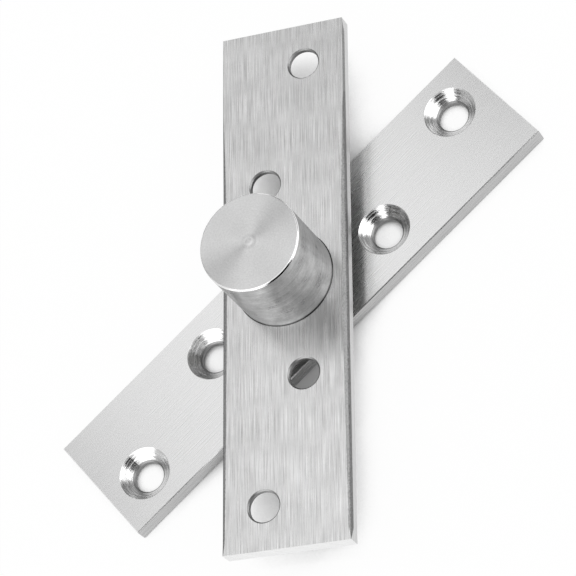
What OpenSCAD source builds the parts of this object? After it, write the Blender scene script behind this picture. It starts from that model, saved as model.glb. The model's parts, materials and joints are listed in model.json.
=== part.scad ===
// Pivot hinge for a swinging door, all stainless steel, in millimetres, +Z up.
// The floor plate lies along Y with its underside at z = 0. The pivot axis is the Z axis.
// Both plates are one blank: the door plate is that blank turned over and set at the rest angle.

/* [Plates] */
// Length of both plates
plate_len = 128; // [124:1:160]
// Width of both plates
plate_w = 30; // [28:0.5:40]
// Thickness of both plates
plate_t = 4; // [3.5:0.1:6]
// Clear gap between the two plates
plate_gap = 4.6; // [3.6:0.1:8]
// Angle between the plates at rest
rest_angle = 50; // [0:1:180]

/* [Plate edges] */
// Width of the ground bevel at the middle of each long edge of the plain face
bevel_w = 1; // [0.4:0.05:2]
// Drop of the ground bevel at the middle of each long edge
bevel_drop = 0.5; // [0.2:0.05:1]
// Share of the drop that is left near one end of the plate
bevel_end = 0.5; // [0.3:0.05:1]
// Share that is left towards the other end, where the grinder was lifted early
bevel_lift = 0.1; // [0.05:0.05:1]
// Distance from the pivot by which the grinder was lifted there
bevel_stop = 46; // [35:1:60]
// Length over which the bevel runs out at each end
bevel_runout = 3; // [1:0.5:8]
// Broken edge round the countersunk face
edge_break = 0.2; // [0.1:0.05:0.5]

/* [Screw holes] */
// Diameter of the screw holes
hole_d = 7.2; // [5:0.1:8]
// Diameter of the countersinks, which are 90 degree cones
csk_d = 12.5; // [9:0.1:13]
// Deburred rim of each hole on the plain face
hole_rim = 0.35; // [0.1:0.05:0.4]
// Outer holes: distance from the pivot along the plate
outer_along = 53.8; // [48:0.1:55]
// Outer holes: distance to one side of the centre line
outer_off = 5.25; // [0:0.25:6]
// Inner holes: distance from the pivot along the plate
inner_along = 23.9; // [22:0.1:34]
// Inner holes: distance to the other side of the centre line
inner_off = 4.5; // [0:0.25:6]

/* [Barrel] */
// Outside diameter of the barrel
barrel_d = 23.4; // [22:0.1:26]
// Height of the barrel above the door plate
barrel_h = 21; // [18:0.5:30]
// Radius of the rounded edge at the barrel's top
barrel_round = 0.4; // [0.2:0.05:1]
// Flare of the barrel's foot where it is pressed on the door plate
barrel_foot = 0.2; // [0.1:0.05:0.5]
// Diameter of the blind bore
bore_d = 16; // [15:0.1:17]
// Thickness of the closed top
top_wall = 3; // [2:0.5:5]
// Diameter of the spigot that goes through the door plate
spigot_d = 19; // [18:0.1:20.5]
// Width of the rim that is staked over below the door plate
stake_w = 0.7; // [0.3:0.1:1]
// Diameter of the pip that the lathe left on the top
pip_d = 1.8; // [1:0.1:3]
// Height of the pip
pip_h = 0.12; // [0.05:0.01:0.3]

/* [Pivot pin] */
// Diameter of the journal that turns in the bush
journal_d = 10; // [9:0.1:11]
// Diameter of the tail that is riveted in the floor plate
tail_d = 8; // [6:0.1:8.5]
// Width of the riveted head round the tail, in a 90 degree countersink
rivet_w = 1.5; // [0.8:0.1:2.5]
// Diameter of the head that carries the thrust bearing
head_d = 15; // [13.5:0.1:15.4]
// Thickness of that head
head_t = 2.6; // [1.5:0.1:5]
// Chamfer on the pin's ends and shoulders
pin_chamfer = 0.4; // [0.2:0.1:0.8]

/* [Ring and washer between the plates] */
// Outside diameter of the steel spacer ring and of the washer on it
spacer_d = 18; // [16:0.5:22]
// Height of the steel spacer ring
spacer_h = 3; // [1.5:0.1:3.2]

/* [Thrust bearing] */
// Number of balls
ball_count = 12; // [8:1:13]
// Diameter of each ball
ball_d = 2.5; // [2:0.1:2.6]
// Diameter of the circle on which the balls run
ball_circle_d = 12; // [11.6:0.1:12.4]
// Bore of the race that sits on the pin
race_bore_d = 8; // [7.5:0.1:8.6]
// Thickness of each race
race_t = 1.6; // [1.2:0.1:2.5]
// Depth of the groove in each race
groove_depth = 0.35; // [0.2:0.05:0.6]
// Thickness of the ball cage
cage_t = 1; // [0.6:0.1:1.2]

/* [Fits] */
// Radial clearance of pressed and located pieces
seat_clearance = 0.02; // [0.01:0.01:0.05]
// Radial clearance between the journal and its bush
running_clearance = 0.04; // [0.02:0.01:0.1]
// Clearance between a ball and its groove or pocket
ball_clearance = 0.03; // [0.02:0.01:0.06]
// Side clearance between races and pieces that turn past them
race_clearance = 0.3; // [0.2:0.05:0.4]
// Free play along the axis
axial_play = 0.1; // [0.05:0.05:0.3]

/* [Hidden] */
BALLS = [for (i = [1 : ball_count]) str("ball_", i < 10 ? "0" : "", i)];
$fn = 96;
over = 1;                                   // how far a cutter runs past a face
bevel_fade = 1.5;                           // power by which a ground bevel fades towards one end
bevel_steps = 6;                            // steps of a ground bevel on each side of the middle

// Levels, from the ground up
door_z = plate_t + plate_gap;               // underside of the door plate
barrel_z = door_z + plate_t;                // foot of the barrel
barrel_top = barrel_z + barrel_h;
ceiling_z = barrel_top - top_wall;          // end of the blind bore
race_gap = ball_d + 2 * ball_clearance - 2 * groove_depth;
upper_race_z = ceiling_z - race_t;
ball_z = upper_race_z - race_gap / 2;
lower_race_z = upper_race_z - race_gap - race_t;
head_z = lower_race_z - head_t;             // underside of the pin's head
bush_top = head_z - axial_play;

// Sizes that follow from their mates
rivet_d = tail_d + 2 * rivet_w;
stake_d = spigot_d + 2 * stake_w;
bush_bore_d = journal_d + 2 * running_clearance;
race_od = bore_d - 2 * seat_clearance;
washer_h = plate_gap - spacer_h - axial_play;
bevel_tilt = atan(bevel_drop / bevel_w);
break_side = edge_break * sqrt(2);          // side of the bar that breaks an edge
groove_r = ball_d / 2 + 2 * ball_clearance;
nose_z = ceiling_z - 2 * axial_play;        // top of the pin's nose

// A disc with a chamfer on its lower and its upper rim
module chamfered_disc(d, h, low, high) {
    rotate_extrude()
        polygon([[0, 0], [d / 2 - low, 0], [d / 2, low], [d / 2, h - high], [d / 2 - high, h], [0, h]]);
}

// Drop of the ground edge at a place along the plate: full in the middle, fading slowly towards y < 0
// and soon towards y > 0, and running out to nothing at both ends
function edge_drop(y) =
    let (from_end = plate_len / 2 - abs(y))
    let (slow = 1 - (1 - bevel_end) * pow(2 * abs(y) / plate_len, bevel_fade))
    let (soon = max(bevel_lift, 1 - pow(y / bevel_stop, 2)))
    bevel_drop * (y < 0 ? slow : soon) * min(1, sqrt(max(0, from_end) / bevel_runout));

// What the grinder takes off one long edge of the plain face, which is at z = 0. The way is 1 where the
// edge runs along +Y, and -1 where it runs back.
module bevel_cutter(way) {
    end = plate_len / 2;
    steps = concat([for (y = [-end : bevel_runout / 4 : -end + bevel_runout]) y],
        [for (i = [1 - bevel_steps : bevel_steps - 1]) i * (end - bevel_runout) / bevel_steps],
        [for (y = [end - bevel_runout : bevel_runout / 4 : end]) y]);
    cut = [for (y = steps) [y, edge_drop(way * y) * cos(bevel_tilt)]];
    translate([plate_w / 2, 0, 0])
        rotate([0, -bevel_tilt, 0])
            translate([-plate_w / 4, 0, 0])
                rotate([90, 0, 90])
                    linear_extrude(plate_w / 2)
                        polygon(concat([[-end, -over]], cut, [[end, -over]]));
}

// A screw hole through the blank, countersunk from above
module screw_hole() {
    csk_depth = (csk_d - hole_d) / 2;
    translate([0, 0, -over])
        cylinder(d = hole_d, h = plate_t + 2 * over);
    translate([0, 0, plate_t - csk_depth])
        cylinder(d1 = hole_d, d2 = csk_d + 2 * over, h = csk_depth + over);
    translate([0, 0, -over])
        cylinder(d1 = hole_d + 2 * hole_rim + 2 * over, d2 = hole_d, h = over + hole_rim);
}

// The plate that both halves start from: countersunk face up, plain ground face down
module blank() {
    difference() {
        translate([-plate_w / 2, -plate_len / 2, 0])
            cube([plate_w, plate_len, plate_t]);
        for (half = [0, 180])
            rotate(half) {
                translate([-outer_off, outer_along, 0])
                    screw_hole();
                translate([inner_off, inner_along, 0])
                    screw_hole();
                bevel_cutter(half == 0 ? 1 : -1);
                translate([plate_w / 2, 0, plate_t])
                    rotate([0, 45, 0])
                        cube([break_side, plate_len + 2 * over, break_side], center = true);
                translate([0, plate_len / 2, plate_t])
                    rotate([45, 0, 0])
                        cube([plate_w + 2 * over, break_side, break_side], center = true);
            }
    }
}

// A round hole with a 90 degree countersink on the face at z = 0
module seat_hole(d, csk_w) {
    translate([0, 0, -over])
        cylinder(d = d, h = plate_t + 2 * over);
    translate([0, 0, -over])
        cylinder(d1 = d + 2 * csk_w + 2 * over, d2 = d, h = over + csk_w);
}

module floor_plate() {
    color("gainsboro")
        difference() {
            blank();
            seat_hole(tail_d + 2 * seat_clearance, rivet_w);
        }
}

module door_plate() {
    color("silver")
        rotate(rest_angle)
            translate([0, 0, door_z])
                difference() {
                    translate([0, 0, plate_t])
                        rotate([0, 180, 0])
                            blank();
                    seat_hole(spigot_d + 2 * seat_clearance, stake_w);
                }
}

// Closed cup, turned from bar: its spigot passes through the door plate and is staked over below
module barrel() {
    r = barrel_d / 2;
    color("lightgray")
        rotate_extrude()
            union() {
                polygon([[0, ceiling_z], [bore_d / 2, ceiling_z], [bore_d / 2, door_z],
                    [stake_d / 2, door_z], [spigot_d / 2, door_z + stake_w], [spigot_d / 2, barrel_z],
                    [r + barrel_foot, barrel_z], [r, barrel_z + barrel_foot],
                    [r, barrel_top - barrel_round], [r - barrel_round, barrel_top],
                    [pip_d / 2, barrel_top], [pip_d / 4, barrel_top + pip_h], [0, barrel_top + pip_h]]);
                translate([r - barrel_round, barrel_top - barrel_round])
                    circle(r = barrel_round);
            }
}

// Stepped pin: riveted tail, journal, head and nose
module pivot_pin() {
    nose_r = race_bore_d / 2 - seat_clearance;
    color("lightgray")
        rotate_extrude()
            polygon([[0, 0], [rivet_d / 2, 0], [tail_d / 2, rivet_w], [tail_d / 2, plate_t],
                [journal_d / 2, plate_t], [journal_d / 2, head_z],
                [head_d / 2 - pin_chamfer, head_z], [head_d / 2, head_z + pin_chamfer],
                [head_d / 2, lower_race_z], [nose_r, lower_race_z],
                [nose_r, nose_z - pin_chamfer], [nose_r - pin_chamfer, nose_z], [0, nose_z]]);
}

// Bored disc that stands on the floor plate round the journal
module spacer_ring() {
    color("gray")
        translate([0, 0, plate_t])
            difference() {
                chamfered_disc(spacer_d, spacer_h, edge_break, edge_break);
                translate([0, 0, -over])
                    cylinder(d = journal_d + 2 * seat_clearance, h = spacer_h + 2 * over);
            }
}

// Plastic washer that the door half glides on if it is pushed down
module glide_washer() {
    color("ivory")
        translate([0, 0, plate_t + spacer_h])
            difference() {
                chamfered_disc(spacer_d, washer_h, edge_break, edge_break);
                translate([0, 0, -over])
                    cylinder(d = bush_bore_d, h = washer_h + 2 * over);
            }
}

// Bronze bush pressed into the barrel's mouth: it guides the journal and holds the pin's head in
module journal_bush() {
    bush_h = bush_top - door_z;
    color("peru")
        translate([0, 0, door_z])
            difference() {
                chamfered_disc(bore_d - 2 * seat_clearance, bush_h, edge_break, edge_break);
                translate([0, 0, -over])
                    cylinder(d = bush_bore_d, h = bush_h + 2 * over);
            }
}

// One race of the thrust bearing with its groove facing up
module race(od, bore) {
    difference() {
        chamfered_disc(od, race_t, edge_break, edge_break);
        translate([0, 0, -over])
            cylinder(d = bore, h = race_t + 2 * over);
        translate([0, 0, race_t - groove_depth + groove_r])
            rotate_extrude()
                translate([ball_circle_d / 2, 0])
                    circle(r = groove_r);
    }
}

module lower_race() {
    color("darkgray")
        translate([0, 0, lower_race_z])
            race(bore_d - 2 * race_clearance, race_bore_d);
}

module upper_race() {
    color("darkgray")
        translate([0, 0, ceiling_z])
            mirror([0, 0, 1])
                race(race_od, race_bore_d + 2 * race_clearance);
}

module ball_cage() {
    color("goldenrod")
        translate([0, 0, ball_z - cage_t / 2])
            difference() {
                cylinder(d = bore_d - 2 * race_clearance, h = cage_t);
                translate([0, 0, -over])
                    cylinder(d = race_bore_d + 2 * race_clearance, h = cage_t + 2 * over);
                for (i = [1 : ball_count])
                    rotate(i * 360 / ball_count)
                        translate([ball_circle_d / 2, 0, -over])
                            cylinder(d = ball_d + 2 * ball_clearance, h = cage_t + 2 * over);
            }
}

module ball(i) {
    color("whitesmoke")
        rotate(i * 360 / ball_count)
            translate([ball_circle_d / 2, 0, ball_z])
                sphere(d = ball_d);
}

floor_plate();
spacer_ring();
glide_washer();
pivot_pin();
lower_race();
door_plate();
barrel();
journal_bush();
upper_race();
ball_cage();
for (i = [1 : ball_count])
    ball(i);
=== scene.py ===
# %% [markdown]
# # A stainless pivot hinge, dressed for the studio
# The hinge is two crossed steel plates on one riveted pin, with a turned barrel that hides a thrust
# ball bearing. Its shapes come finished from the imported model, so this lesson only gives each piece
# the finish that its machine left on it, and then sets the light and the camera. Nothing is moved:
# every piece keeps the place that the model gives it.

# %% Open the imported model
import json
import math

import bpy
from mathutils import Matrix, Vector


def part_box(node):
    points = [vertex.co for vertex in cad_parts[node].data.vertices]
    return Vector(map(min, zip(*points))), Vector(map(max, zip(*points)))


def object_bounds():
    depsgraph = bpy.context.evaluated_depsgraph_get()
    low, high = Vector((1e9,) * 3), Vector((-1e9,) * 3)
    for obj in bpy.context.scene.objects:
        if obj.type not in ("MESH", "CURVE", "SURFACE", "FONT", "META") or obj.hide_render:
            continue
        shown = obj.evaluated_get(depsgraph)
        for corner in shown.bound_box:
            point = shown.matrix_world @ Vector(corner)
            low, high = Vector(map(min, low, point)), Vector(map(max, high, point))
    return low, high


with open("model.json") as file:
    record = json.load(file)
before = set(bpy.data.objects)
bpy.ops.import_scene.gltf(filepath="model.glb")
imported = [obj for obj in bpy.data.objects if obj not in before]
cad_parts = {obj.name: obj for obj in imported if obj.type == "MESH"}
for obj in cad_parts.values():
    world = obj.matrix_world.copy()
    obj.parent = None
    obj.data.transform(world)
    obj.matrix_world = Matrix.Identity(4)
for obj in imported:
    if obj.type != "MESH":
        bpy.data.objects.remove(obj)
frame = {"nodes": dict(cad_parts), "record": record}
cad_low, cad_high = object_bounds()
NODES = frame["nodes"]
RECORD = frame["record"]
MM = 0.001
UP = (0, 0, 1)
print("pieces:", len(NODES), "- box in mm:", [round(v / MM, 1) for v in (cad_high - cad_low)])

# %% [markdown]
# ## Shader maths as Python
# A finish is a small sum: the steel's tone, plus so much brushing, minus the worn patch. Adding Math
# nodes one by one hides that sum, so a Wire wraps a socket and overloads the operators, and the sum is
# written as it is thought of. Values go through Math nodes. Colours and vectors go through Vector
# Math, because a Math node would turn a colour grey. The bare numbers that stay in a sum are amounts:
# how much lighter, rougher or steeper a mark makes the steel. Sizes, tones and roughnesses have names.

# %% One class for sockets
class Wire:
    def __init__(self, bench, socket):
        self.bench, self.socket = bench, socket

    def is_wide(self):
        return self.socket.type in ("VECTOR", "RGBA")

    def math(self, operation, a, b=0.0):
        wide = [v.is_wide() if isinstance(v, Wire) else isinstance(v, (tuple, Vector)) for v in (a, b)]
        if not any(wide):
            return self.bench.node("Math", {"operation": operation}, {0: a, 1: b})
        a, b = (v if is_wide or isinstance(v, Wire) else (v, v, v) for v, is_wide in zip((a, b), wide))
        return self.bench.node("VectorMath", {"operation": operation}, {0: a, 1: b})

    def __add__(self, other):
        return self.math("ADD", self, other)

    def __radd__(self, other):
        return self.math("ADD", other, self)

    def __sub__(self, other):
        return self.math("SUBTRACT", self, other)

    def __rsub__(self, other):
        return self.math("SUBTRACT", other, self)

    def __mul__(self, other):
        return self.math("MULTIPLY", self, other)

    def __rmul__(self, other):
        return self.math("MULTIPLY", other, self)

    def __truediv__(self, other):
        return self.math("DIVIDE", self, other)

    def __abs__(self):
        return self.math("ABSOLUTE", self)

    def __pow__(self, other):
        return self.math("POWER", self, other)

    def lower(self, other):
        """The lower of the two."""
        return self.math("MINIMUM", self, other)

    def higher(self, other):
        """The higher of the two."""
        return self.math("MAXIMUM", self, other)

    def dot(self, direction):
        return self.bench.node("VectorMath", {"operation": "DOT_PRODUCT"}, {0: self, 1: direction}, "Value")

    def cross(self, direction):
        return self.bench.node("VectorMath", {"operation": "CROSS_PRODUCT"}, {0: self, 1: direction})

    def length(self):
        return self.bench.node("VectorMath", {"operation": "LENGTH"}, {0: self}, "Value")

    def normalized(self):
        return self.bench.node("VectorMath", {"operation": "NORMALIZE"}, {0: self})

    def fade(self, start, end):
        """0 at start, 1 at end, with a smooth step between them."""
        return self.bench.node("MapRange", {"interpolation_type": "SMOOTHSTEP"},
                               {"Value": self, "From Min": start, "From Max": end})

# %% [markdown]
# Any other node comes from one method, which takes the node's type, its settings and its sockets.
# A Bench is one material with its tree, and it hands out the noises and blends that finishes share.

# %% One bench for each material
class Bench:
    def __init__(self, name):
        self.material = bpy.data.materials.new(name)
        self.material.use_nodes = True
        self.tree = self.material.node_tree
        self.tree.nodes.clear()
        self.output = self.tree.nodes.new("ShaderNodeOutputMaterial")

    def node(self, kind, settings=None, sockets=None, out=0):
        made = self.tree.nodes.new("ShaderNode" + kind)
        for key, value in (settings or {}).items():
            setattr(made, key, value)
        for key, value in (sockets or {}).items():
            if isinstance(value, Wire):
                self.tree.links.new(value.socket, made.inputs[key])
            else:
                made.inputs[key].default_value = value
        return Wire(self, made.outputs[out])

    def vector(self, x, y, z):
        return self.node("CombineXYZ", {}, {0: x, 1: y, 2: z})

    def grey(self, tone):
        return self.vector(tone, tone, tone)

    def noise(self, where, detail=2.0, rough=0.5):
        """Noise from -0.5 to 0.5, with one patch per unit of the place it is given."""
        return self.node("TexNoise", {}, {"Vector": where, "Scale": 1.0, "Detail": detail,
                                          "Roughness": rough}) - 0.5

    def blend(self, mask, a, b):
        """a where the mask is 0, b where it is 1."""
        return a + (b - a) * mask

    def world(self, direction):
        return self.node("VectorTransform", {"vector_type": "VECTOR", "convert_from": "OBJECT",
                                             "convert_to": "WORLD"}, {0: direction})

    def bump(self, height, strength):
        return self.node("Bump", {}, {"Strength": strength, "Distance": 0.02 * MM, "Height": height})

    def steel(self, sockets):
        return self.surface(self.node("BsdfPrincipled", {}, {"Metallic": 1.0, **sockets}))

    def surface(self, shader):
        self.tree.links.new(shader.socket, self.output.inputs["Surface"])
        return self.material


def wear(material, *names):
    for name in names:
        for slot in NODES[name].material_slots:
            slot.material = material
    print(material.name, "on", ", ".join(names))

# %% [markdown]
# ## Where things are on the plates
# The finish changes at the screw holes, the bevels and the ends. The record says where the screw holes
# are, and the screw holes say how the door plate lies, so that nothing is measured twice.

# %% Holes and directions
def hole_centres(plate):
    boxes = [o["box_m"] for o in RECORD["physics"]["openings"] if o["name"].startswith(plate)]
    return [Vector(((low[0] + high[0]) / 2, (low[1] + high[1]) / 2, 0)) for low, high in boxes]


def screw_turn(plate):
    """Angle about the pivot from one end pair of a plate's screws to the other."""
    screws = [m for m in RECORD["mounts"] if m["name"].startswith(plate + "_screws")]
    ends = {m["name"][-1]: Vector(m["pos_m"]) for m in screws}
    along = ends["a"] - ends["b"]
    return math.atan2(-along.x, along.y)


HOLES = {plate: hole_centres(plate) for plate in ("floor", "door")}
# The screws are staggered, so this angle leans from the floor plate, which lies along Y, and leans as
# much the other way from the door plate, which is the same blank turned over.
TURNS = {"floor": 0.0, "door": screw_turn("door") + screw_turn("floor")}
HALF_LENGTH = (cad_high.y - cad_low.y) / 2
HALF_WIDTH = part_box("floor_plate")[1].x
PLAIN_Z = {"floor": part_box("floor_plate")[0].z, "door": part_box("door_plate")[1].z}
CONE_RADIUS = 6.25 * MM
BORE_RADIUS = 3.6 * MM
print("plates turned by", {plate: round(math.degrees(turn), 1) for plate, turn in TURNS.items()})

# %% [markdown]
# ## Ground plates
# Both plates are cut from one bar and belt ground along their length. Grinding is thousands of fine
# grooves, which spread a reflection sideways. Modelling them is hopeless, and the shader's own
# anisotropy follows a circle round the piece's middle, which suits turned work and not a bar. So the
# normal is tipped sideways by a noise that is stretched along the bar, as the grooves do it, and the
# same noise lightens and darkens the steel.
#
# The plain face's long edges carry a bevel, ground by hand rough and pitted. Its dark tone is painted
# shade, the dark look of the bevel laid as a strip on the face and a way down the sides. The strip is
# widest near the middle, fades out before one end of the bar and narrows to half its width at the
# other. A straight mask would look printed, so a fine noise nibbles its inner border.

# %% Places and marks on one bar
HAIR_WIDTH = 0.14 * MM
SCRATCH_WIDTH = 0.3 * MM
BAND_WIDTH, BAND_LENGTH = 2.4 * MM, 30 * MM
CLOUD_SIZE = 5 * MM
PIT_SIZE = 0.3 * MM
STRIP_WIDTH = 1.05 * MM
STRIP_STOP = 46 * MM
RUN_OUT = 3 * MM
NIBBLE = 0.5 * MM


class BarMarks:
    """The places and marks on one ground bar that the finishes of its faces share."""

    def __init__(self, bench, plate, grain):
        turn = TURNS[plate]
        self.bench = bench
        self.along_dir = Vector((-math.sin(turn), math.cos(turn), 0))
        self.across_dir = Vector((math.cos(turn), math.sin(turn), 0))
        self.spot = bench.node("TexCoord", {}, {}, "Object")
        self.facing = bench.node("TexCoord", {}, {}, "Normal")
        self.along = self.spot.dot(self.along_dir)
        self.across = self.spot.dot(self.across_dir)
        self.height = self.spot.dot(UP)
        self.up = abs(self.facing.dot(UP))
        self.flat = self.up.fade(0.97, 0.995)
        self.side = self.up.fade(0.4, 0.2)
        self.hair = self.streaks(HAIR_WIDTH, grain, 3.0)
        self.scratch = self.streaks(SCRATCH_WIDTH, grain * 2, 7.0)
        self.band = self.streaks(BAND_WIDTH, BAND_LENGTH, 11.0)
        self.cloud = bench.noise(self.spot * (1 / CLOUD_SIZE), 4.0, 0.6)
        self.pits = bench.noise(self.spot * (1 / PIT_SIZE), 3.0, 0.65)

    def streaks(self, width, length, seed):
        side = self.across + self.height
        return self.bench.noise(self.bench.vector(side * (1 / width), self.along * (1 / length), seed))

    def from_hole(self, plate):
        """Offset from the nearest screw hole's centre line, and its length."""
        offsets = [(self.spot - hole) * Vector((1, 1, 0)) for hole in HOLES[plate]]
        nearest, near = offsets[0], offsets[0].length()
        for other in offsets[1:]:
            closer = (near - other.length()).fade(-0.001 * MM, 0.001 * MM)
            nearest, near = self.bench.blend(closer, nearest, other), near.lower(other.length())
        return nearest, near

    def rings(self, near, spacing, seed, detail, rough=0.5):
        """The rings that a cutter leaves in a hole, on its slopes as well as down its walls."""
        place = self.bench.vector(near * (1 / spacing), self.height * (1 / spacing), seed)
        return self.bench.noise(place, detail, rough)

    def ragged_edge(self, plain_z, side_depth):
        """1 on the ground long edges of the plain face, which is at plain_z, and a way down the sides."""
        slow = (self.along * (-1 / HALF_LENGTH)).higher(0.0) ** 1.5 * 0.5
        soon = ((self.along * (1 / STRIP_STOP)).higher(0.0) ** 2.0).lower(0.97)
        run_out = ((HALF_LENGTH - abs(self.along)) * (1 / RUN_OUT)).lower(1.0).higher(0.0)
        nibbled = self.bench.noise(self.spot * (1 / NIBBLE), 3.0, 0.7) * NIBBLE
        inside = HALF_WIDTH - abs(self.across) - (1 - slow - soon) * run_out * STRIP_WIDTH
        below = abs(plain_z - self.height) - run_out * side_depth + nibbled * 0.6
        on_face = (inside + nibbled * self.flat).fade(0.06 * MM, -0.06 * MM)
        return on_face * below.fade(0.1 * MM, -0.1 * MM)

# %% [markdown]
# A plate's tone is mixed in layers. First comes the ground face with its hairs, scratches and clouds,
# or the sawn and drawn sides. Over it lies the hand-ground strip, rougher and pitted, and darker with
# painted shade, darkest at the face's outer edge and down the sides. Last come the screw holes: the
# countersink is cut bright, and the bore below it is drilled and dull, and painted dark as shade.

# %% Tone and gloss of a plate
SAWN_TONE = 0.86
# The strip's tones are painted shade: darker at the face's outer edge, darkest down the sides.
STRIP_SHADE_TONE, STRIP_EDGE_SHADE_TONE, STRIP_SIDE_SHADE_TONE, STRIP_ROUGH = 0.34, 0.2, 0.17, 0.45
CUT_TONE, CUT_ROUGH = 0.62, 0.17
# The bore's dark tone is painted shade down in the hole; its roughness is the drill's.
BORE_SHADE_TONE, BORE_ROUGH = 0.27, 0.4


def bar_tone(bar, near, masks, look):
    blend = bar.bench.blend
    # Painted shade: a plate whose two tones differ grows darker towards one end.
    place = bar.along.fade(-HALF_LENGTH, HALF_LENGTH)
    streak = look["streak"]
    face = blend(place, *look["tones"]) + bar.hair * (streak * 1.8) + bar.scratch * (streak * 0.3)
    face = face + bar.band * (streak * 0.25) + bar.cloud * (streak * 0.5)
    sides = blend(masks["sawn"], look["side_tone"], SAWN_TONE) + bar.scratch * 0.3 + bar.hair * 0.2
    face = blend(bar.side, face, sides)
    # Painted shade: the strip grows darker at the face's outer edge and down the sides.
    rim = (HALF_WIDTH - abs(bar.across)).fade(0.35 * MM, 0.1 * MM) * bar.up.fade(0.5, 0.8)
    strip = blend(bar.side, blend(rim, STRIP_SHADE_TONE, STRIP_EDGE_SHADE_TONE), STRIP_SIDE_SHADE_TONE)
    strip = strip + bar.pits * 0.55 + bar.hair * 0.15
    tone = blend(masks["strip"] * look["strip_share"], face, strip)
    rings = bar.rings(near, 0.3 * MM, 9.0, 3.0, 0.6)
    tone = blend(masks["hole"], tone, CUT_TONE + rings * 0.4)
    # Painted shade: the bore is coloured dark, as the shade down in the hole.
    return blend(masks["bore"], tone, BORE_SHADE_TONE + rings * 0.1)


def bar_roughness(bar, masks, look):
    blend = bar.bench.blend
    rough = blend(masks["strip"], look["rough"] + bar.scratch * 0.1, STRIP_ROUGH)
    rough = blend(masks["hole"], rough, CUT_ROUGH)
    return blend(masks["bore"], rough, BORE_ROUGH)

# %% [markdown]
# The way a plate mirrors the room is in its normal. The streaks tip it across the bar, and the pits of
# the strip tip it along the bar. A countersink is cut by a tool that leaves very fine rings, which tip
# the normal up and down the slope, so each point mirrors a fan of the room and the soft boxes show as
# hard white sectors. The tool also chatters a little, so a wobble from ring to ring frays the sectors.

# %% The normal of a plate
RING_SPACING = 0.1 * MM
WOBBLE_SIZE = 1.6 * MM
WOBBLE_SPACING = 0.22 * MM


def bar_normal(bar, outward, near, masks, look):
    bench = bar.bench
    downhill = outward / bench.grey(near)
    cut = masks["hole"] * (1 - masks["bore"])
    tip = (bar.hair * 1.5 + bar.scratch * 0.2) * look["tilt"] * (1 - masks["hole"])
    fine = bar.rings(near, RING_SPACING, 4.0, 2.0)
    wobble_at = bar.spot * (1 / WOBBLE_SIZE) + bench.grey(near * (1 / WOBBLE_SPACING))
    wobble = bench.noise(wobble_at, 3.0, 0.7)
    normal = bench.node("NewGeometry", {}, {}, "Normal")
    normal = normal + bench.world(bar.across_dir) * bench.grey(tip * bar.up)
    normal = normal + bench.world(bar.along_dir) * bench.grey(bar.pits * masks["strip"] * look["tilt"] * 1.5)
    normal = normal + bench.world(downhill) * bench.grey(fine * cut * 1.4)
    normal = normal + bench.world(downhill.cross(UP)) * bench.grey(wobble * cut * 0.45)
    return normal.normalized()

# %% [markdown]
# One recipe then serves both plates, since they are one blank. The floor plate shows the countersunk
# face, finely brushed, with hardly a trace of the strip. The door plate shows the plain face, which is
# duller and more streaky, and painted a little darker towards one end as shade.

# %% Dress the two plates
def ground_bar(name, plate, look):
    bench = Bench(name)
    bar = BarMarks(bench, plate, look["grain"])
    outward, near = bar.from_hole(plate)
    hole = near.fade(CONE_RADIUS * 1.03, CONE_RADIUS * 1.02) * (1 - bar.flat)
    in_bore = near.fade(BORE_RADIUS + 0.4 * MM, BORE_RADIUS + 0.38 * MM)
    masks = {
        "hole": hole,
        "bore": hole * (bar.side + in_bore).lower(1.0),
        "strip": bar.ragged_edge(PLAIN_Z[plate], look["strip_depth"]) * (1 - hole),
        "sawn": abs(bar.facing.dot(bar.along_dir)).fade(0.6, 0.8),
    }
    return bench.steel({
        "Base Color": bench.grey(bar_tone(bar, near, masks, look)),
        "Roughness": bar_roughness(bar, masks, look),
        "Normal": bar_normal(bar, outward, near, masks, look),
    })


FLOOR_LOOK = {"tones": (0.81, 0.81), "side_tone": 0.5, "streak": 0.05, "tilt": 0.006, "grain": 7 * MM,
              "rough": 0.27, "strip_depth": 0.3 * MM, "strip_share": 0.15}
DOOR_LOOK = {"tones": (0.69, 0.6), "side_tone": 0.6, "streak": 0.46, "tilt": 0.1, "grain": 10 * MM,
             "rough": 0.28, "strip_depth": 1.6 * MM, "strip_share": 1.0}
wear(ground_bar("brushed_floor_plate", "floor", FLOOR_LOOK), "floor_plate")
wear(ground_bar("ground_door_plate", "door", DOOR_LOOK), "door_plate")

# %% [markdown]
# ## The barrel
# The barrel is turned from bar. Its end is faced, which leaves rings round the lathe's pip, and its
# side is satin with faint blotches from handling. Here the shader's own anisotropy is right as it
# stands: with no tangent given it follows a circle round the piece's middle, as the tool did. Only the
# pip is mixed in without it, because a circle has no direction at its centre.
#
# The rim is broken with a polishing stroke that reaches a little way down the side. It is mirror
# bright, and its normal is tipped up, so that it mirrors the room as one thin line. At the foot, a
# band of the side next to the door plate is painted nearly black, as the shade in that crease.

# %% The barrel's finish
RIM_REACH = 0.72 * MM
RIM_TONE, RIM_ROUGH = 0.9, 0.08
FACE_TONE, FACE_ROUGH = 0.64, 0.3
SIDE_TONE, SIDE_ROUGH = 0.43, 0.29
# Painted shade: the crease at the barrel's foot.
CREASE_SHADE_TONE = 0.05
PIP_ROUGH = 0.5
ANISOTROPY = 0.85
QUARTER_TURN = 0.25


def ring(radius, start, full, fading, gone):
    """1 between two radii in mm, with a fade on each side."""
    return radius.fade(start * MM, full * MM) * radius.fade(gone * MM, fading * MM)


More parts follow.
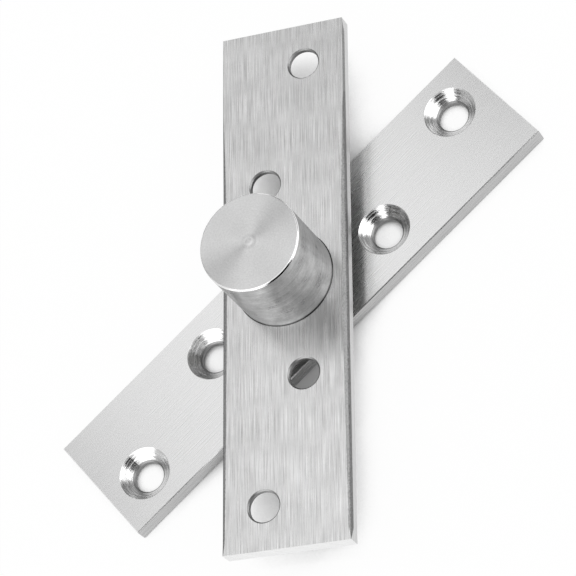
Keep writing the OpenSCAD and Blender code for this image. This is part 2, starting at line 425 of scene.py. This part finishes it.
def turned_barrel():
    bench = Bench("turned_barrel")
    blend = bench.blend
    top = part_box("barrel")[1].z
    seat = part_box("door_plate")[1].z
    spot = bench.node("TexCoord", {}, {}, "Object")
    up = bench.node("TexCoord", {}, {}, "Normal").dot(UP)
    radius = (spot * Vector((1, 1, 0))).length()
    height = spot.dot(UP)

    # where each finish is, and the painted shade of the crease
    at_top = height.fade(top - 2 * MM, top - 1 * MM)
    end_face = up.fade(0.93, 0.99) * at_top
    rim = height.fade(top - RIM_REACH, top - RIM_REACH + 0.02 * MM) * (1 - end_face)
    # painted shade in the crease where the barrel meets the door plate
    crease_shade = height.fade(seat + 0.6 * MM, seat + 0.1 * MM)
    pip = radius.fade(1.3 * MM, 1.1 * MM) * at_top
    swirl = (ring(radius, 0.5, 0.8, 1.0, 1.3) - ring(radius, 1.1, 1.4, 1.6, 2.0)) * at_top

    # marks of the lathe and of handling
    rings = bench.noise(bench.vector(radius * (1 / (0.25 * MM)), 0.0, 0.0), 3.0)
    grain = bench.noise(spot * (1 / (0.4 * MM)), 3.0, 0.7)
    turned = bench.noise(bench.vector(height * (1 / (0.3 * MM)), 2.0, 0.0) + spot * 60, 2.0)
    blotch = bench.noise(spot * (1 / (4 * MM)), 4.0, 0.6)
    speck = bench.noise(spot * Vector((1, 1, 1.8)) * (1 / (0.45 * MM)), 3.0, 0.65)

    face_tone = FACE_TONE + rings * 0.14 + grain * 0.3 + blotch * 0.1 + swirl * (0.03 + blotch * 0.3)
    side_tone = SIDE_TONE + blotch * 0.55 + speck * 0.3 + turned * 0.3
    tone = blend(crease_shade, blend(rim, blend(end_face, side_tone, face_tone), RIM_TONE), CREASE_SHADE_TONE)
    rough = blend(end_face, SIDE_ROUGH + blotch * 0.12, FACE_ROUGH)
    rough = blend(pip, blend(rim, rough, RIM_ROUGH), PIP_ROUGH)
    relief = bench.bump(blend(end_face, turned * 0.6 + speck * 0.2, rings), 0.2)
    tip = rim * (1 - up.fade(0.0, 0.5)) * 0.6
    normal = (relief + bench.vector(0.0, 0.0, tip)).normalized()

    plain = {"Base Color": bench.grey(tone), "Metallic": 1.0, "Roughness": rough, "Normal": normal}
    turned_way = {**plain, "Anisotropic": ANISOTROPY, "Anisotropic Rotation": QUARTER_TURN}
    turned_steel = bench.node("BsdfPrincipled", {}, turned_way)
    plain_steel = bench.node("BsdfPrincipled", {}, plain)
    return bench.surface(bench.node("MixShader", {}, {0: pip, 1: turned_steel, 2: plain_steel}))


wear(turned_barrel(), "barrel")

# %% [markdown]
# ## Pieces inside and between
# The pin, rings, races and bush are turned as well, so one recipe serves them: rings, a little cloud
# in the tone and a low relief. Only the colour, the gloss and the depth of the rings differ.

# %% Other turned pieces
TURNED_RING = 0.2 * MM
TURNED_CLOUD = 3 * MM


def turned_work(name, colour, roughness, depth, metal=1.0):
    bench = Bench(name)
    spot = bench.node("TexCoord", {}, {}, "Object")
    radius = (spot * Vector((1, 1, 0))).length()
    height = spot.dot(UP)
    rings = bench.noise(bench.vector(radius * (1 / TURNED_RING), height * (1 / TURNED_RING), 0.0), 3.0)
    cloud = bench.noise(spot * (1 / TURNED_CLOUD), 3.0)
    shade = 1 + rings * depth + cloud * 0.15
    return bench.steel({"Base Color": bench.grey(shade) * Vector(colour), "Metallic": metal,
                        "Roughness": roughness + cloud * 0.15, "Normal": bench.bump(rings, 0.3)})


BALLS = sorted(name for name in NODES if name.startswith("ball_") and name != "ball_cage")
wear(turned_work("turned_pin", (0.6, 0.6, 0.6), 0.3, 0.2), "pivot_pin", "spacer_ring")
wear(turned_work("ground_race", (0.6, 0.6, 0.61), 0.15, 0.1), "lower_race", "upper_race")
wear(turned_work("polished_ball", (0.72, 0.72, 0.74), 0.08, 0.03), *BALLS)
wear(turned_work("bush_bronze", (0.66, 0.44, 0.24), 0.3, 0.2), "journal_bush")
wear(turned_work("cage_brass", (0.76, 0.6, 0.3), 0.32, 0.15), "ball_cage")
wear(turned_work("washer_plastic", (0.82, 0.81, 0.76), 0.45, 0.05, metal=0.0), "glide_washer")

# %% [markdown]
# ## Light
# Bare metal shows what stands round it, so the room matters more than the lamps. The room itself is
# plain white, which is all that the camera sees of it.

# %% A plain white room
world = bpy.data.worlds.new("white_room")
world.use_nodes = True
bpy.context.scene.world = world
world.node_tree.nodes["Background"].inputs["Color"].default_value = (1, 1, 1, 1)
world.node_tree.nodes["Background"].inputs["Strength"].default_value = 1.0

# %% [markdown]
# In it stands a soft box on each side, for the bright sectors in the countersinks. Cards that only the
# steel sees stand between them, dark and pale. The front ones give the cones their dark sectors, the
# barrel its bands and its rim a thin black arc, and the back ones set the tone of the flat faces. Each
# lamp or card hangs at a direction from the hinge and faces it.

# %% Soft boxes and cards
HINGE_MIDDLE = Vector((0, 0, (cad_low.z + cad_high.z) / 2))
BOX_DISTANCE = 0.27
CARD_DISTANCE = 0.5
LOW_CARD_DISTANCE = 0.078
BOX_RADIANCE = 1.6


def hang(name, data, azimuth, elevation, distance):
    """Put a lamp or card at a direction from the hinge, facing it."""
    a, e = math.radians(azimuth), math.radians(elevation)
    away = Vector((math.cos(e) * math.cos(a), math.cos(e) * math.sin(a), math.sin(e)))
    thing = bpy.data.objects.new(name, data)
    thing.location = HINGE_MIDDLE + away * distance
    thing.rotation_euler = away.to_track_quat("Z", "Y").to_euler()
    bpy.context.scene.collection.objects.link(thing)
    print(name, "at azimuth", azimuth, "and elevation", elevation)
    return thing


def soft_box(name, azimuth, elevation, width, height):
    lamp = bpy.data.lights.new(name, "AREA")
    lamp.shape = "RECTANGLE"
    lamp.size, lamp.size_y = width, height
    lamp.energy = BOX_RADIANCE * math.pi * width * height
    hang(name, lamp, azimuth, elevation, BOX_DISTANCE).visible_diffuse = False


def card(name, azimuth, elevation, width, height, tones, grows=(1, 0, 0), distance=CARD_DISTANCE):
    """A card that the steel mirrors, whose tone changes from the first to the second the way it grows."""
    mesh = bpy.data.meshes.new(name)
    corners = [(x * width / 2, y * height / 2, 0) for x, y in ((-1, -1), (1, -1), (1, 1), (-1, 1))]
    mesh.from_pydata(corners, [], [(0, 1, 2, 3)])
    bench = Bench(name)
    half = Vector((width, height, 0)).dot(grows) / 2
    place = bench.node("TexCoord", {}, {}, "Object").dot(grows).fade(-half, half)
    tone = bench.grey(bench.blend(place, *tones))
    mesh.materials.append(bench.surface(bench.node("Emission", {}, {"Color": tone})))
    thing = hang(name, mesh, azimuth, elevation, distance)
    thing.visible_camera = thing.visible_diffuse = thing.visible_shadow = False


soft_box("right_soft_box", 52, 26, 0.24, 0.2)
soft_box("left_soft_box", -59, 23, 0.33, 0.2)
card("front_card", -2, 12, 0.7, 0.5, (0.0, 0.04), grows=(0, 1, 0))
card("low_front_card", 0, 2, 0.056, 0.05, (0.0, 0.0), distance=LOW_CARD_DISTANCE)
card("right_card", 112, 10, 0.6, 0.4, (0.36, 0.22))
card("left_card", -130, 10, 0.6, 0.4, (0.5, 0.75))
card("back_card", 176, 6, 0.4, 0.26, (0.15, 0.15))
card("back_right_flag", 146, 46, 0.13, 0.2, (0.2, 0.2))
card("back_left_flag", -146, 46, 0.13, 0.2, (0.2, 0.2))

# %% [markdown]
# ## Floor
# The floor is white paper. Lit paper alone is never quite white, so most of what the camera and
# reflections see of it shines at strength 1, and the rest is lit paper that keeps the hinge's shadow.
# Where the hinge hangs close above it, the paper glows less and is coloured a little darker: a painted
# shadow over the real one.

# %% White paper that keeps the shadow
PAPER_SIZE = 3.0
PAPER_GAP = 0.2 * MM
SHADE_REACH = 20 * MM
SHADED_PAPER, OPEN_PAPER = 0.7, 0.95
GLOW = 0.95
bpy.ops.mesh.primitive_plane_add(size=PAPER_SIZE, location=(0, 0, cad_low.z - PAPER_GAP))
floor = bpy.context.object
floor.name = "paper_floor"
bench = Bench("paper")
rays = ("Is Camera Ray", "Is Glossy Ray", "Is Transmission Ray")
camera_ray, glossy_ray, transmission_ray = (bench.node("LightPath", {}, {}, ray) for ray in rays)
# Painted shadow: where the hinge covers the paper, its glow and its colour fall.
openness = bench.node("AmbientOcclusion", {"samples": 8}, {"Distance": SHADE_REACH}, "AO").fade(0.3, 0.6)
glow = camera_ray.higher(glossy_ray).higher(transmission_ray) * openness * GLOW
paper = bench.node("BsdfDiffuse", {}, {"Color": bench.grey(bench.blend(openness, SHADED_PAPER, OPEN_PAPER))})
white = bench.node("Emission", {}, {"Color": (1, 1, 1, 1), "Strength": 1.0})
floor.data.materials.append(bench.surface(bench.node("MixShader", {}, {0: glow, 1: paper, 2: white})))
print("paper", PAPER_SIZE, "m wide,", round(PAPER_GAP / MM, 1), "mm below the hinge")

# %% [markdown]
# ## Camera
# The hinge is seen from above with a long lens, which keeps its edges nearly parallel.

# %% A long lens from above
LENS = 170.594
CAMERA_PLACE = (0.325934, -0.004073, 0.535084)
CAMERA_TURN = (23.7786, 21.6754, 49.4896)
camera = bpy.data.cameras.new("camera")
camera.sensor_width = 36
camera.lens = LENS
view = bpy.data.objects.new("camera", camera)
view.location = CAMERA_PLACE
view.rotation_euler = [math.radians(angle) for angle in CAMERA_TURN]
bpy.context.scene.collection.objects.link(view)
bpy.context.scene.camera = view
bpy.context.scene.view_settings.view_transform = "Standard"
print("camera at", round(view.location.length, 3), "m from the pivot")
